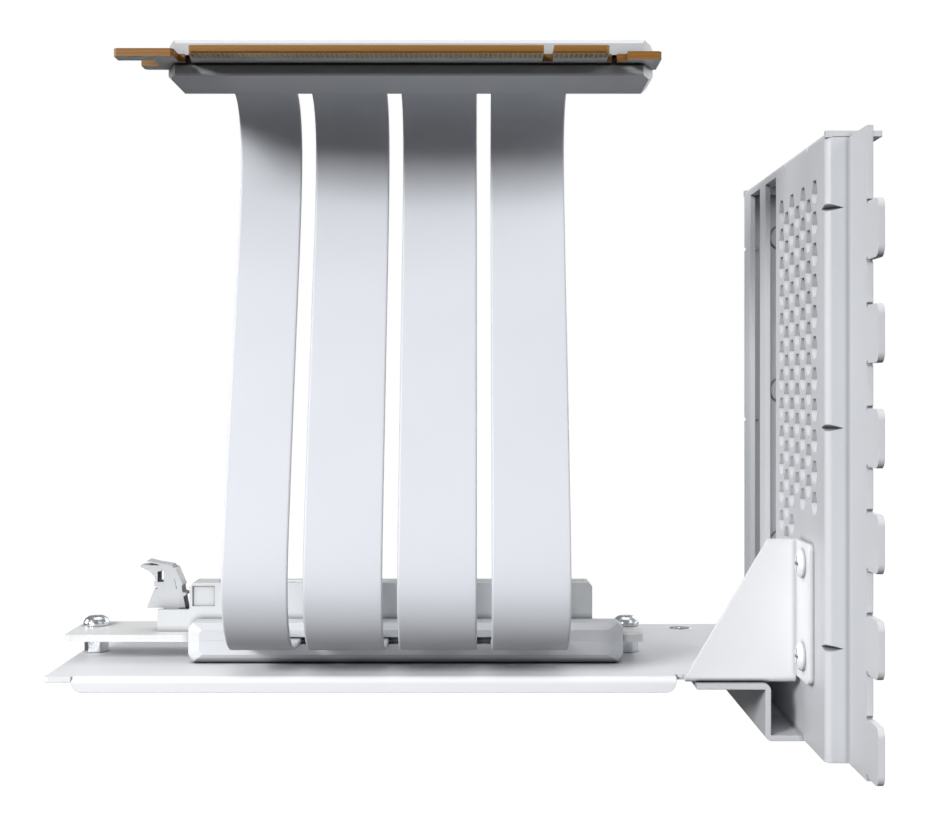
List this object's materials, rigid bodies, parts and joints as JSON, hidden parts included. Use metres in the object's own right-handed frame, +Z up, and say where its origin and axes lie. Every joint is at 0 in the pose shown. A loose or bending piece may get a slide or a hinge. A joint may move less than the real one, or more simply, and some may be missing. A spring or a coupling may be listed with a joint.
{
  "type": "vertical graphics card riser bracket",
  "caption": "White perforated rear plate with tall card windows, a folded tray and a card socket joined to a free edge plug by flat ribbon cables.",
  "frame": {"origin": "middle of the outer face of the rear plate's near flange, the face that lies against the case", "axes": "+X out through the case's rear wall, +Y away from the side where the free plug points, +Z up as pictured"},
  "size_m": [0.1797, 0.1186, 0.1481],
  "materials": {
    "coated_steel": "white powder coat",
    "zinc_steel": "bright zinc plate",
    "white_board": "glass-fibre laminate under white solder mask",
    "white_plastic": "moulded, satin",
    "cover_plastic": "moulded, fine satin",
    "latch_plastic": "moulded, satin grey",
    "cable_jacket": "smooth flat cable jacket",
    "gold_contacts": "gold plate"
  },
  "bodies": {
    "bracket": {"rear_plate": "coated_steel", "tray": "coated_steel", "gusset_screws": "zinc_steel", "foot_screws": "zinc_steel", "standoffs": "zinc_steel", "riser_board": "white_board", "board_screws": "zinc_steel", "socket_body": "white_plastic", "socket_contacts": "gold_contacts", "base_cover_upper": "cover_plastic", "base_cover_lower": "cover_plastic", "base_cover_screws": "zinc_steel", "ribbon_1": "cable_jacket", "ribbon_2": "cable_jacket", "ribbon_3": "cable_jacket", "ribbon_4": "cable_jacket", "plug_cover_upper": "cover_plastic", "plug_cover_lower": "cover_plastic", "plug_screws": "zinc_steel", "plug_board": "white_board", "plug_fingers_top": "gold_contacts", "plug_fingers_bottom": "gold_contacts"},
    "latch": {"latch": "latch_plastic"}
  },
  "joints": [
    {"name": "latch_swing", "type": "hinge", "parent": "bracket", "child": "latch", "pos_m": [-0.1471, 0.0564, -0.0414], "axis": [0, -1, 0], "range_deg": [0, 20]}
  ]
}
